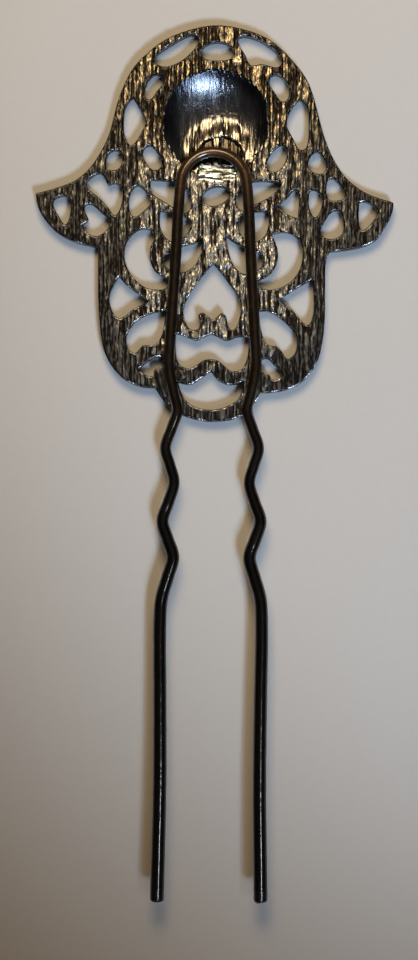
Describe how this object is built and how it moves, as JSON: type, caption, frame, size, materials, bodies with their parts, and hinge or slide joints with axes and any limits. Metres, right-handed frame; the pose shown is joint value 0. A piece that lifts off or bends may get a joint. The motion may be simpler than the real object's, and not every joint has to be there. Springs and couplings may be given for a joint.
{
  "type": "hair fork",
  "caption": "Two-pronged hair fork with crimped prongs, bent from one wire and soldered behind a cast openwork open-hand plate with a hollow-backed boss.",
  "frame": {"origin": "under the middle of the fork's overall box, in the plane that the front of the plate rests on when the fork lies back side up", "axes": "+Z out of the back of the plate, +Y along the fork from the prong tips to the top of the plate, +X to the right as the back is looked at"},
  "size_m": [0.0448, 0.1096, 0.0057],
  "materials": {
    "plate_gunmetal": "gunmetal-plated zinc casting with a coarse linear grain and worn golden-brown highs",
    "wire_lacquer": "glossy brown-black lacquer over spring steel wire, worn coppery on the bow",
    "tip_lacquer": "thick glossy black lacquer gathered at the ends",
    "solder": "smooth flowed solder, plated dark with the casting"
  },
  "bodies": {
    "root": {"hamsa_plate": "plate_gunmetal", "fork_wire": "wire_lacquer", "lacquer_tip_left": "tip_lacquer", "lacquer_tip_right": "tip_lacquer", "solder_left_outer": "solder", "solder_left_inner": "solder", "solder_right_inner": "solder", "solder_right_outer": "solder"}
  },
  "joints": []
}
